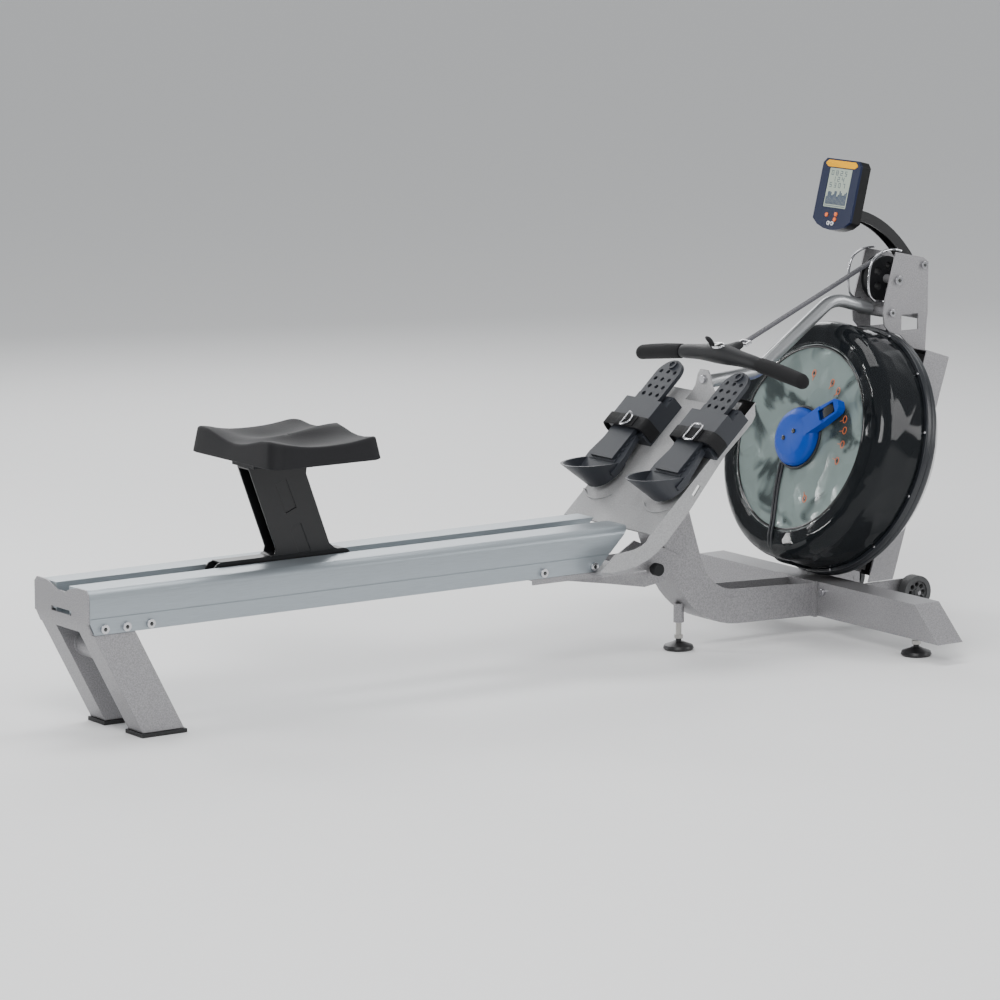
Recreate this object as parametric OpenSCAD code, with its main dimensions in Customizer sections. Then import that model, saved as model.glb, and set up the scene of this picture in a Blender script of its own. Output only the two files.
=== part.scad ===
// Water-resistance rowing machine: +X runs from the rear legs to the tank, +Z is up,
// and the origin is on the floor at the centre of the overall box.

/* [Rails] */
// Height of the rail tops above the floor
rail_top = 295; // [285:1:300]
// Height of one rail extrusion
rail_h = 85; // [80:1:90]
// Width of one rail extrusion
rail_w = 77; // [70:1:77]
// Half of the gap between the two rails
rail_gap = 24.5; // [24.5:0.5:26]
// X of the rear end of the rails
rail_rear = -1042; // [-1045:1:-1020]
// X of the front end of the rail tops
rail_front = 222; // [200:1:224]

/* [Rear legs] */
// Depth of a leg box along X
leg_depth = 92; // [80:1:95]
// Width of a leg box along Y
leg_w = 56; // [48:1:56]
// Slant of the legs from vertical, degrees
leg_slant = 27.7; // [24:0.1:28]

/* [Footplate] */
// Slope of the footplate, degrees
foot_slope = 43.1; // [42:0.1:44]
// Width of the footplate
foot_w = 300; // [290:1:302]
// Length of the footplate along its slope
foot_len = 362; // [350:1:364]

/* [Stabiliser] */
// Length of the stabiliser at its lower edge
stab_len = 880; // [840:1:880]
// X of the rear face of the stabiliser
stab_x = 754; // [752:1:756]

/* [Tank] */
// Outside radius of the tank's clamp ring
ring_r = 268; // [262:1:270]
// X of the centre of the clamp ring
ring_x = 861; // [860:1:862]
// Height of the centre of the clamp ring
ring_z = 379; // [378:1:380]
// Lean of the tank from vertical, degrees
tank_lean = 17.5; // [17:0.1:18]
// Distance from the ring to the tank's front face
tank_front = 132; // [128:1:134]

/* [Seat] */
// Depth of the seat pad along X
seat_d = 258; // [240:1:262]
// Width of the seat pad along Y
seat_w = 314; // [300:1:320]
// X of the seat's centre at rest
seat_x = -538; // [-542:1:-532]
// Height of the seat pad's underside
seat_z = 497; // [495:1:500]

/* [Handle and belt] */
// Overall length of the handle
handle_len = 568; // [540:1:570]
// Thickness of the handle's grips
grip_d = 32; // [28:1:33]
// Width of the drive belt
belt_w = 20; // [16:1:22]

/* [Display] */
// Width of the display
disp_w = 124; // [115:1:126]
// Height of the display
disp_h = 150; // [140:1:152]

/* [Hidden] */
$fn = 48;

silver = [0.66, 0.66, 0.67];
anodised = [0.70, 0.73, 0.76];
chrome = [0.82, 0.82, 0.84];
black = [0.06, 0.06, 0.07];
gap = 0.3;          // clearance between separate pieces
sheet = 4;          // thickness of the frame's folded sheet
run = 0.05;         // running clearance of a shaft in its hole

// Rails
rail_bottom = rail_top - rail_h;
rail_out = rail_gap + rail_w;
rail_wall = 3;
rail_cut = 85;      // how far the rails' front ends slope back towards the bottom
track_y = 33.5;     // centre of the roller track in the rail's side
track_z = 262;      // height of the seat roller axles
roller_r = 14;
bolt_z = 221;       // height of the bolts in the rails
rear_bolt_x = [-1012, -964, -911];
front_bolt_x = [5, 130];
lip_slant = 24;     // slant of the end plate's lower lip
lip_z = 232;

// Rear legs
pad_h = 8;
leg_y = 71;         // centre of each leg
leg_foot_x = -928;  // rear edge of a leg at the top of its pad
leg_top_z = rail_bottom - gap;
cross_tube_z = 168;
cross_tube_r = 27;

// Footplate frame: local X runs up the slope from the lower edge
foot_x = 238;
foot_z = 283;
foot_half = foot_w / 2;
tab_x = 484;
tab_hole_z = 563;

// Main channel
chan_half = 42;
sleeve_x = 423;

// Stabiliser
stab_w = 66;
stab_bottom = 42;
stab_top = 115;
stab_slant = 77;    // how much shorter each end is at the top
foot_y = 332;
foot_cx = stab_x + stab_w / 2;
stem_r = 6;
wheel_x = 966;
wheel_z = 80;
wheel_y = 110;
wheel_r = 36;
wheel_w = 25;
wheel_axle_r = 4;

// Column behind the tank
col_half = 118;
col_front_s = -52;  // distances along the tank's axis, behind the ring
col_back_s = -117;

// Tank
shell_t = 5;
drum_r = 258;
hub_r = 62;
inner_r = 195;
ring_half = 13;
rear_depth = 46;
shaft_r = 10;
lever_len = 150;
lever_angle = 34;   // lever's angle above the level line, towards -Y

// Top bracket and pulley
bracket_half = 53;
pulley_x = 957;
pulley_z = 740;
pulley_r = 44;
pulley_w = 26;
axle_r = 6;
arm_x = 1026;
arm_z = 768;
tube_r = 14;

// Belt and handle
belt_t = 2.4;
belt_slope = 23.4;
handle_x = 528;
handle_z = 611;
droop = 28;         // how far the handle's ends hang below its centre
belt_tan_x = pulley_x - (pulley_r + belt_t / 2) * sin(belt_slope);
belt_tan_z = pulley_z + (pulley_r + belt_t / 2) * cos(belt_slope);
shackle_x = 588;
shackle_z = belt_tan_z - (belt_tan_x - shackle_x) * tan(belt_slope);

// Seat
pad_t = 48;
upright_top_x = -633;
upright_base_x = -566;
upright_half = 22;
upright_len = 124;
upright_base_z = 304;
core_half = 129;
trolley_front = -400;
trolley_rear = -716;
axle_x = [-700, -416];
seat_axle_r = 5;

// Footrests, in the footplate frame
rest_y = 112;       // centre of each footrest
plate_z = 34;       // underside of the sliding plate
plate_t = 9;
plate_end = 361;    // centre of the plate's round top end
plate_half = 38;
block_x = [215, 287]; // block that the plate slides through
block_half = 60;

// Display frame: local Z out of the screen, local X up the face
disp_x = 830;
disp_z = 924;
disp_tilt = 13.7;
disp_t = 28;
btn_travel = 1.2;
btn_r = 4.5;
lcd_half = 37;      // half of the window's width

// Extrudes a Y-Z outline along +X
module along_x(len) { rotate([90, 0, 90]) linear_extrude(len) children(); }
// Extrudes an X-Z outline along Y, centred on y = 0
module across(w) { rotate([90, 0, 0]) linear_extrude(w, center = true) children(); }
// A cylinder along Y, centred
module rod_y(r, w) { rotate([90, 0, 0]) cylinder(r = r, h = w, center = true); }
// Local frame on the tank's axis: +Z towards the rower, +X up the ring
module tank_frame() {
    translate([ring_x, 0, ring_z]) rotate([0, -(90 - tank_lean), 0]) children();
}
// Local frame on the footplate's upper face: +X up the slope, +Z out of the face
module foot_frame() {
    translate([foot_x, 0, foot_z]) rotate([0, -foot_slope, 0]) children();
}
// Local frame on the display's face: +Z out of the screen, +X up the face
module disp_frame() {
    translate([disp_x, 0, disp_z]) rotate([0, -(90 - disp_tilt), 0]) children();
}
// Both sides of the machine
module both_sides() { for (s = [0, 1]) mirror([0, s, 0]) children(); }
function unit(v) = v / norm(v);
// Points along a path in the X-Z plane whose corners are rounded to a radius
function bent_path(pts, bend, steps = 6) = concat([pts[0]],
    [for (i = [1:len(pts) - 2])
        let(a = unit(pts[i] - pts[i - 1]), b = unit(pts[i + 1] - pts[i]),
            turn = acos(min(1, a * b)), side = a[0] * b[1] > a[1] * b[0] ? 1 : -1,
            start = pts[i] - a * bend * tan(turn / 2),
            centre = start + side * bend * [-a[1], a[0]], from = start - centre)
        for (k = [0:steps]) let(t = side * turn * k / steps)
            centre + [from[0] * cos(t) - from[1] * sin(t), from[0] * sin(t) + from[1] * cos(t)]],
    [pts[len(pts) - 1]]);
// A round bar swept along a path in the X-Z plane
module bent_bar(path, r, sides) {
    n = len(path);
    function normal(i) = let(d = unit(path[min(n - 1, i + 1)] - path[max(0, i - 1)])) [-d[1], d[0]];
    rings = [for (i = [0:n - 1], k = [0:sides - 1]) let(a = 360 * k / sides, m = normal(i))
        [path[i][0] + r * cos(a) * m[0], r * sin(a), path[i][1] + r * cos(a) * m[1]]];
    walls = [for (i = [0:n - 2], k = [0:sides - 1]) let(j = (k + 1) % sides)
        [i * sides + k, i * sides + j, (i + 1) * sides + j, (i + 1) * sides + k]];
    polyhedron(rings, concat(walls, [[for (k = [sides - 1:-1:0]) k]],
        [[for (k = [0:sides - 1]) (n - 1) * sides + k]]));
}
// A flat outline joining rounded points
module rounded(pts, r) { hull() for (p = pts) translate(p) circle(r); }
// A socket-head bolt along +Y with its head outside
module bolt_y(head_r, shank_r, len) {
    difference() {
        union() {
            rotate([90, 0, 0]) cylinder(r = head_r, h = 6);
            rotate([-90, 0, 0]) cylinder(r = shank_r, h = len);
        }
        translate([0, -6.5, 0]) rotate([-90, 0, 0]) cylinder(r = head_r * 0.45, h = 4, $fn = 6);
    }
}

// Rails ---------------------------------------------------------------

// Rail section on the +Y side: a hollow extrusion with a C-shaped roller track on its inner face
module rail_section() {
    y0 = rail_gap;
    y1 = rail_out;
    w = rail_wall;
    difference() {
        polygon([[y0, rail_bottom], [y1, rail_bottom], [y1, rail_top - 17], [y1 - 3, rail_top - 9],
            [y1 - 12, rail_top - 2], [y1 - 20, rail_top], [y0, rail_top]]);
        polygon([[y0 + 23, rail_bottom + w], [y1 - w, rail_bottom + w], [y1 - w, rail_top - 18],
            [y1 - 14, rail_top - w - 2], [y1 - 20, rail_top - w], [y0 + 23, rail_top - w]]);
        translate([y0 - 1, track_z - roller_r - gap]) square([21, 2 * roller_r + 2 * gap]);
        translate([y0 + w, rail_bottom + w]) square([17, track_z - roller_r - 4 - rail_bottom - w]);
        translate([y1 - 1.6, 241]) square([3, 2.4]);
    }
}
module rail() {
    color(anodised) difference() {
        translate([rail_rear, 0, 0]) along_x(rail_front - rail_rear) rail_section();
        translate([rail_front, 0, rail_top]) rotate([0, atan(rail_cut / rail_h), 0])
            translate([0, 0, -200]) cube([200, 200, 400]);
        for (x = concat(rear_bolt_x, front_bolt_x))
            translate([x, rail_out - 5, bolt_z]) rod_y(4.1, 12);
        // clearance for the end plate's slanted lip
        lip_frame() translate([-60, 0, -80]) cube([60 + sheet + gap, 200, 82]);
    }
}
module rail_left() { rail(); }
module rail_right() { mirror([0, 1, 0]) rail(); }

// Frame of the end plate's lower lip, with +X towards the tank
module lip_frame() {
    translate([rail_rear - gap - sheet, 0, lip_z]) rotate([0, -lip_slant, 0]) children();
}
module rear_end_plate() {
    edge = 101;
    lip = 24;
    color(silver) {
        translate([rail_rear - gap - sheet, 0, 0]) along_x(sheet) difference() {
            polygon([[-edge, lip_z], [edge, lip_z], [edge, 288], [edge - 9, 297], [58, 297],
                [32, 290], [16, 283], [-16, 283], [-32, 290], [-58, 297], [-(edge - 9), 297],
                [-edge, 288]]);
            translate([-38, 240]) square([76, 9]);
        }
        lip_frame() translate([0, 4 - edge, -lip]) cube([sheet, 2 * edge - 8, lip]);
    }
}

// A slanted leg box on the +Y side, open at the top end
module rear_leg() {
    dx = (leg_top_z - pad_h) * tan(leg_slant);
    outer = [[leg_foot_x, pad_h + gap], [leg_foot_x + leg_depth, pad_h + gap],
        [leg_foot_x + leg_depth - dx, leg_top_z], [leg_foot_x - dx, leg_top_z]];
    difference() {
        translate([0, leg_y, 0]) across(leg_w) polygon(outer);
        translate([0, leg_y, 0]) across(leg_w - 2 * sheet)
            polygon([outer[0] + [sheet, -1], outer[1] + [-sheet, -1],
                outer[2] + [-sheet - 2, -sheet], outer[3] + [sheet + 2, -sheet]]);
    }
}
module rear_leg_frame() {
    cx = leg_foot_x + leg_depth / 2 - (cross_tube_z - pad_h) * tan(leg_slant);
    color(silver) {
        both_sides() rear_leg();
        translate([cx, 0, cross_tube_z]) difference() {
            rod_y(cross_tube_r, 2 * (leg_y - leg_w / 2) + 2);
            rod_y(cross_tube_r - sheet, 2 * leg_y);
        }
    }
}
module rear_pads() {
    over = 4;
    color(black) both_sides()
        translate([leg_foot_x - over, leg_y - leg_w / 2 - over, 0])
            cube([leg_depth + 2 * over, leg_w + 2 * over, pad_h]);
}
module rail_bolts() {
    color(chrome) both_sides() for (x = concat(rear_bolt_x, front_bolt_x))
        translate([x, rail_out + gap, bolt_z]) mirror([0, 1, 0]) bolt_y(9, 4, 12);
}

// Footplate, cradle and channel ------------------------------------------

// Side outline of the footplate's flange, in the X-Z plane
module flange_outline() {
    difference() {
        polygon([[112, 218], [140, 214], [173, 216], [204, 221], [232, 232], [256, 246], [277, 262],
            [336, 322], [386, 381], [428, 430], [470, 466], [494, 488], [503, 503], [501, 527],
            [foot_x + foot_len * cos(foot_slope), foot_z + foot_len * sin(foot_slope)],
            [foot_x, foot_z], [228, 268], [214, 260], [196, 255], [150, 250]]);
        translate([352, 362]) rotate(52) square([26, 8], center = true);
    }
}
module footplate() {
    color(silver) {
        both_sides() translate([0, foot_half - sheet / 2, 0]) across(sheet) flange_outline();
        foot_frame() translate([0, 1 - foot_half, -sheet]) cube([foot_len, foot_w - 2, sheet]);
        // pressed ridges below the heel cups
        foot_frame() for (s = [-1, 1]) translate([120, s * 102, 0]) difference() {
            translate([0, 0, -1]) cylinder(r = 70, h = 4);
            translate([0, 0, -2]) cylinder(r = 66, h = 8);
            translate([-50, -80, -3]) cube([130, 160, 9]);
        }
        difference() {
            translate([tab_x, 0, 0]) along_x(sheet)
                polygon([[-70, 508], [70, 508], [42, 530], [28, 548], [20, 572], [12, 582],
                    [-12, 582], [-20, 572], [-28, 548], [-42, 530]]);
            translate([tab_x - 2, 0, tab_hole_z]) rotate([0, 90, 0]) cylinder(r = 4.1, h = 10);
        }
    }
}
// Tray that carries the rails, with cheeks out to the footplate's flanges
module rail_cradle() {
    z0 = rail_bottom - gap - sheet - 8;
    reach = 190;
    color(silver) {
        translate([-20, -rail_out + 1, rail_bottom - gap - sheet])
            cube([reach + 60, 2 * rail_out - 2, sheet]);
        for (s = [-1, 1]) translate([-20, s * (rail_out - 3) - 2, z0]) cube([reach + 60, 4, 9]);
        both_sides() translate([120, rail_out - 1, rail_bottom - gap - sheet])
            cube([110, foot_half - sheet - gap - rail_out + 1, sheet]);
        for (s = [-1, 1]) translate([0, s * 44.6, 0]) across(4)
            polygon([[40, 209], [40, 196], [200, 170], [300, 152], [345, 158], [392, 196], [392, 209],
                [340, 232], [300, 209]]);
    }
}
// Folded channel that sweeps from the footplate down to the stabiliser
module channel_outline() {
    function arc(cx, cz, r, a0, a1, n) =
        [for (i = [0:n]) [cx + r * cos(a0 + (a1 - a0) * i / n), cz + r * sin(a0 + (a1 - a0) * i / n)]];
    polygon(concat(
        [[316, 350], [350, 238]],
        arc(552, 236, 188, 196, 268, 10),
        [[stab_x - 8, 42], [stab_x - 8, 113], [545, 121]],
        arc(543, 218, 97, 262, 195, 8),
        [[418, 293], [384, 420]]));
}
// Space between the channel's flanges, open on its upper side
module channel_inside() {
    function arc(cx, cz, r, a0, a1, n) =
        [for (i = [0:n]) [cx + r * cos(a0 + (a1 - a0) * i / n), cz + r * sin(a0 + (a1 - a0) * i / n)]];
    polygon(concat(
        [[320, 350], [354, 239]],
        arc(552, 236, 188 - sheet, 196, 268, 10),
        [[stab_x - 12, 42 + sheet], [stab_x - 12, 180], [600, 300], [400, 460], [300, 460]]));
}
module main_channel() {
    color(silver) {
        difference() {
            across(2 * chan_half) channel_outline();
            across(2 * chan_half - 2 * sheet) channel_inside();
            // the footplate's underside cuts the channel's top
            foot_frame() translate([-100, -100, -sheet - gap]) cube([600, 200, 300]);
        }
        translate([stab_x - 8 - gap, -chan_half - 6, 40]) cube([8, 2 * chan_half + 12, 76]);
        difference() {
            translate([sleeve_x, 0, 58]) cylinder(r = 11, h = 40);
            translate([sleeve_x, 0, 50]) cylinder(r = stem_r + run, h = 60);
        }
    }
}

// Stabiliser ---------------------------------------------------------------

module front_stabiliser() {
    half = stab_len / 2;
    wall = 3;
    color(silver) {
        difference() {
            translate([stab_x, 0, 0]) along_x(stab_w)
                polygon([[-half, stab_bottom], [half, stab_bottom], [half - stab_slant, stab_top],
                    [-half + stab_slant, stab_top]]);
            translate([stab_x + wall, 0, 0]) along_x(stab_w - 2 * wall)
                polygon([[-half + 6, stab_bottom + wall], [half - 6, stab_bottom + wall],
                    [half - stab_slant - 2, stab_top - wall], [-half + stab_slant + 2, stab_top - wall]]);
            for (s = [-1, 1]) translate([foot_cx, s * foot_y, stab_bottom - 1])
                cylinder(r = stem_r + run, h = 8);
        }
        // wheel brackets
        for (s = [-1, 1])
            translate([stab_x + stab_w - 1, s * (wheel_y - wheel_w / 2 - 6) - 2, wheel_z - 14])
                cube([wheel_x - stab_x - stab_w + 15, 4, 42]);
        for (s = [-1, 1])
            translate([wheel_x, s * (wheel_y - 2), wheel_z]) rod_y(wheel_axle_r, wheel_w + 14);
    }
}
module wheel(s) {
    color([0.2, 0.2, 0.21]) translate([wheel_x, s * wheel_y, wheel_z]) difference() {
        rod_y(wheel_r, wheel_w);
        rod_y(wheel_axle_r + run, wheel_w + 2);
        for (t = [-1, 1]) translate([0, t * wheel_w / 2, 0]) difference() {
            rod_y(25, 8);
            rod_y(9, 9);
        }
        for (i = [0:7]) rotate([0, i * 45, 0]) translate([17, 0, 0]) rod_y(5, wheel_w + 2);
    }
}
module transport_wheel_left() { wheel(1); }
module transport_wheel_right() { wheel(-1); }
module levelling_foot(x, y, top) {
    color(black) translate([x, y, 0]) {
        rotate_extrude() polygon([[0, 0], [29, 0], [32, 4], [30, 10], [14, 16], [10, 18], [0, 18]]);
        translate([0, 0, 17]) cylinder(r = stem_r, h = top - 17);
        translate([0, 0, 24]) cylinder(r = 10, h = 8, $fn = 6);
    }
}
module levelling_foot_left() { levelling_foot(foot_cx, foot_y, 56); }
module levelling_foot_right() { levelling_foot(foot_cx, -foot_y, 56); }
module levelling_foot_centre() { levelling_foot(sleeve_x, 0, 84); }

// Column and top bracket -----------------------------------------------------

module column() {
    t = 3;
    depth = col_front_s - col_back_s;
    base_cut = stab_top + gap;
    up = 245;           // top of the side plates along the ring's plane
    down = 330;
    color(silver) difference() {
        tank_frame() difference() {
            translate([-down, -col_half, col_back_s]) cube([up + down, 2 * col_half, depth]);
            translate([-down - 1, -col_half + t, col_back_s + t])
                cube([up + down - t + 1, 2 * col_half - 2 * t, depth]);
            translate([0, 0, col_back_s - 1]) cylinder(r = shaft_r + 6, h = t + 2);
        }
        translate([500, -200, -100]) cube([600, 400, 100 + base_cut]);
        // slot in the top for the belt
        translate([970, 3, 555]) cube([36, 36, 60]);
    }
}
// Two side plates and a rear web that hold the pulley and the display's arm
module bracket_side(y) {
    translate([0, y, 0]) across(sheet) difference() {
        polygon([[952, 800], [1026, 784], [1040, 774], [1040, 664], [1037, 640], [1034, 582],
            [1002, 592], [986, 604], [966, 622], [935, 632], [922, 646], [918, 676], [924, 704]]);
        translate([pulley_x, pulley_z]) circle(axle_r + 0.01);
        translate([arm_x, arm_z]) circle(4.1);
        translate([940, 672]) circle(4.1);
        translate([968, 632]) square([46, 34]);
    }
}
module top_bracket() {
    color(silver) {
        bracket_side(bracket_half - sheet / 2);
        bracket_side(-bracket_half + sheet / 2);
        translate([1036, -bracket_half + sheet, 650])
            cube([sheet, 2 * bracket_half - 2 * sheet, 90]);
        translate([940, 0, 672]) difference() {
            rod_y(12, 2 * bracket_half - 2 * sheet);
            rod_y(4.1, 120);
        }
        translate([pulley_x, 0, pulley_z]) for (s = [-1, 1])
            translate([0, s * (bracket_half - sheet + pulley_w / 2 + 1) / 2, 0]) difference() {
                rod_y(axle_r + 3, bracket_half - sheet - pulley_w / 2 - 1);
                rod_y(axle_r + 0.01, 80);
            }
    }
}
module upper_tube() {
    color([0.72, 0.73, 0.74])
        bent_bar(bent_path([[494, 556], [622, 566], [824, 706], [924, 678]], 62), tube_r, 24);
}
// Bent wire loops that keep the belt on its pulley
module wire_guards() {
    loop = [[952, 806], [906, 796], [892, 744], [904, 702], [934, 698]];
    color(chrome) for (s = [-1, 1]) translate([0, s * 34, 0]) bent_bar(bent_path(loop, 12), 2.6, 10);
}
module frame_bolts() {
    color(chrome) {
        // pulley axle, arm pivot and tube bolt, right across the bracket
        for (p = [[pulley_x, pulley_z, axle_r, 10], [arm_x, arm_z, 4, 8], [940, 672, 4, 8]])
            translate([p[0], 0, p[1]]) {
                rod_y(p[2], 2 * bracket_half + 4);
                for (s = [-1, 1]) translate([0, s * (bracket_half + 3.5), 0]) rod_y(p[3], 6);
            }
        // stabiliser bolts
        for (y = [-66, 66]) translate([stab_x - 7 - gap, y, 95]) rotate([0, 90, 0])
            cylinder(r = 8, h = 7);
        // tab bolt
        translate([tab_x - 6 - gap, 0, tab_hole_z]) rotate([0, 90, 0]) cylinder(r = 9, h = 6);
        // screws that hold the clamp ring
        tank_frame() for (i = [0:11]) rotate([0, 0, i * 30 + 15])
            translate([ring_r - 6, 0, ring_half + gap]) cylinder(r = 3, h = 3);
    }
}

// Tank ---------------------------------------------------------------------

module tank_front_shell() {
    f = tank_front;
    t = shell_t;
    function corner(r0, s0, r, n) = [for (i = [0:n]) [r0 + r * cos(90 * i / n), s0 + r * sin(90 * i / n)]];
    color([0.35, 0.4, 0.42, 0.5]) tank_frame() rotate_extrude($fn = 96) polygon(concat(
        [[drum_r - t, 1], [drum_r, 1]], corner(drum_r - 34, f - 34, 34, 6),
        [[inner_r + 10, f], [inner_r + 6, f - 6], [shaft_r + 22, f - 6], [shaft_r + 22, f - 6 - t],
            [inner_r + 6 - t, f - 6 - t], [inner_r + 6 - t, f - t], [inner_r + 10, f - t]],
        [for (p = [6:-1:0]) [drum_r - 34 + (34 - t) * cos(15 * p), f - 34 + (34 - t) * sin(15 * p)]]));
}
module tank_rear_shell() {
    t = shell_t;
    d = rear_depth;
    color([0.2, 0.22, 0.23]) tank_frame() rotate_extrude($fn = 96) polygon([
        [drum_r, -1], [drum_r - t, -1], [drum_r - t, -d + 24], [drum_r - 24, -d + t],
        [26, -d + t], [26, -d], [drum_r - 22, -d], [drum_r, -d + 24]]);
}
module tank_gasket() {
    color(black) tank_frame() rotate_extrude($fn = 96)
        translate([drum_r - shell_t + 0.5, -1 + gap / 2]) square([shell_t - 1, 2 - gap]);
}
module tank_ring() {
    color([0.16, 0.17, 0.19]) tank_frame() rotate_extrude($fn = 96) polygon([
        [drum_r + gap, -ring_half], [ring_r - 2, -ring_half], [ring_r, -ring_half + 3],
        [ring_r, -2], [ring_r - 2, 0], [ring_r, 2], [ring_r, ring_half - 3], [ring_r - 2, ring_half],
        [drum_r + gap, ring_half]]);
}
// Wall between the working chamber and the outer reservoir
module tank_inner_wall() {
    color([0.4, 0.45, 0.46, 0.6]) tank_frame() difference() {
        rotate_extrude($fn = 96) polygon([[inner_r - 8, -rear_depth + shell_t + gap],
            [inner_r - 4, -rear_depth + shell_t + gap],
            [inner_r - 4, tank_front - 11 - gap], [inner_r - 8, tank_front - 11 - gap]]);
        // transfer gap at the bottom
        translate([-inner_r - 20, -30, 60]) cube([40, 60, 30]);
    }
}
module impeller_shaft() {
    color(chrome) tank_frame() translate([0, 0, col_back_s - 6])
        cylinder(r = shaft_r, h = 6 + tank_front - col_back_s - 30);
}
module impeller() {
    color([0.10, 0.10, 0.11]) tank_frame() {
        difference() {
            translate([0, 0, -20]) cylinder(r = 26, h = 100);
            translate([0, 0, -21]) cylinder(r = shaft_r, h = 102);
        }
        for (i = [0:5]) rotate([0, 0, i * 60 + 10]) translate([25, -2, 5]) cube([135, 4, 62]);
        translate([0, 0, 32]) difference() {
            cylinder(r = 90, h = 4);
            translate([0, 0, -1]) cylinder(r = 25.5, h = 6);
        }
    }
}
module shaft_bearings() {
    color(chrome) tank_frame() for (z = [-rear_depth - 14, col_back_s - 4]) translate([0, 0, z])
        difference() {
            cylinder(r = 15.7, h = 7);
            translate([0, 0, -1]) cylinder(r = shaft_r + run, h = 9);
        }
    color(silver) tank_frame() translate([0, 0, -rear_depth - 12]) difference() {
        translate([-30, -col_half + 3 + gap, 0]) cube([60, 2 * (col_half - 3 - gap), 4]);
        translate([0, 0, -1]) cylinder(r = 16, h = 6);
    }
}
module shaft_seal() {
    color(black) tank_frame() translate([0, 0, -rear_depth + gap]) difference() {
        cylinder(r = 25.6, h = 8);
        translate([0, 0, -1]) cylinder(r = shaft_r + run, h = 10);
    }
}
module drive_spool() {
    color([0.15, 0.15, 0.16]) tank_frame() translate([0, 0, col_back_s + 8]) difference() {
        rotate_extrude() polygon([[shaft_r + run, 0], [50, 0], [50, 3], [44, 4], [44, 24],
            [50, 25], [50, 28], [30, 28], [30, 40], [36, 41], [36, 44], [shaft_r + run, 44]]);
    }
}
// Belt from the top pulley down inside the column to the spool
module belt_return() {
    drop = 24;
    color([0.2, 0.2, 0.22]) translate([pulley_x, 0, pulley_z]) {
        rotate([90, 0, 0]) translate([0, 0, -belt_w / 2])
            rotate_extrude(angle = 90 + belt_slope)
                translate([pulley_r + gap, 0]) square([belt_t, belt_w]);
        translate([pulley_r + gap, -belt_w / 2, -drop]) cube([belt_t, belt_w, drop]);
    }
    // straight stretch that turns a quarter on its way down to the spool
    top = [pulley_x + pulley_r + gap + belt_t / 2, 0, pulley_z - drop];
    low = [969, 46.5, 399];
    d = low - top;
    color([0.2, 0.2, 0.22]) translate(top) rotate([0, 180, 0])
        multmatrix([[1, 0, -d[0] / -d[2], 0], [0, 1, d[1] / -d[2], 0], [0, 0, 1, 0]])
            linear_extrude(-d[2], twist = 90, slices = 12) square([belt_t, belt_w], center = true);
}
// Elastic return cord with its pair of end hooks, inside the column
module recoil_cord() {
    color([0.1, 0.1, 0.12]) tank_frame() for (y = [-70, 70]) {
        translate([-235, y, col_back_s + 34]) rotate([0, 90, 0]) cylinder(r = 5, h = 416);
        translate([-244, y - 10, col_back_s + 26]) cube([9, 20, 16]);
        translate([181, y - 10, col_back_s + 26]) cube([9, 20, 16]);
    }
}
// Blue resistance lever: a dished hub with a pointer arm
module adjuster_lever() {
    z0 = tank_front - 6 + gap;
    color([0.05, 0.30, 0.75]) tank_frame() {
        translate([0, 0, z0]) rotate_extrude() polygon([[0, 4], [20, 4], [20, 0], [hub_r, 0],
            [hub_r, 14], [hub_r - 6, 22], [hub_r - 20, 30], [0, 34]]);
        rotate([0, 0, -(90 - lever_angle)]) translate([0, 0, z0 + 8]) difference() {
            union() {
                translate([40, -20, 0]) cube([56, 40, 20]);
                linear_extrude(18) polygon([[94, -20], [lever_len - 8, -16], [lever_len, -8],
                    [lever_len, 8], [lever_len - 8, 16], [94, 20]]);
            }
            translate([90, -12, 8]) cube([46, 24, 20]);
        }
    }
}

// Footrests -----------------------------------------------------------------

module rest_frame(s) { foot_frame() translate([0, s * rest_y, 0]) children(); }
// Fixed block that is bolted to the footplate and guides the sliding plate
module footrest_bases() {
    len = block_x[1] - block_x[0];
    top = plate_z + plate_t + 0.6;
    color([0.09, 0.09, 0.10]) for (s = [-1, 1]) rest_frame(s) {
        translate([block_x[0] - 10, -block_half, gap]) cube([len + 38, 2 * block_half, 30 - gap]);
        translate([block_x[0], -block_half, 29]) cube([len, 2 * block_half, plate_z - 29.5]);
        for (y = [-block_half, plate_half + 1]) translate([block_x[0], y, plate_z - 1])
            cube([len, block_half - plate_half - 1, plate_t + 2]);
        translate([block_x[0], -block_half, top]) cube([len, 2 * block_half, 4.4]);
        // screws in the corner ears
        for (x = [block_x[0] - 5, block_x[1] + 21], y = [-53, 53]) translate([x, y, 29])
            cylinder(r = 4, h = 3);
    }
}
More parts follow.
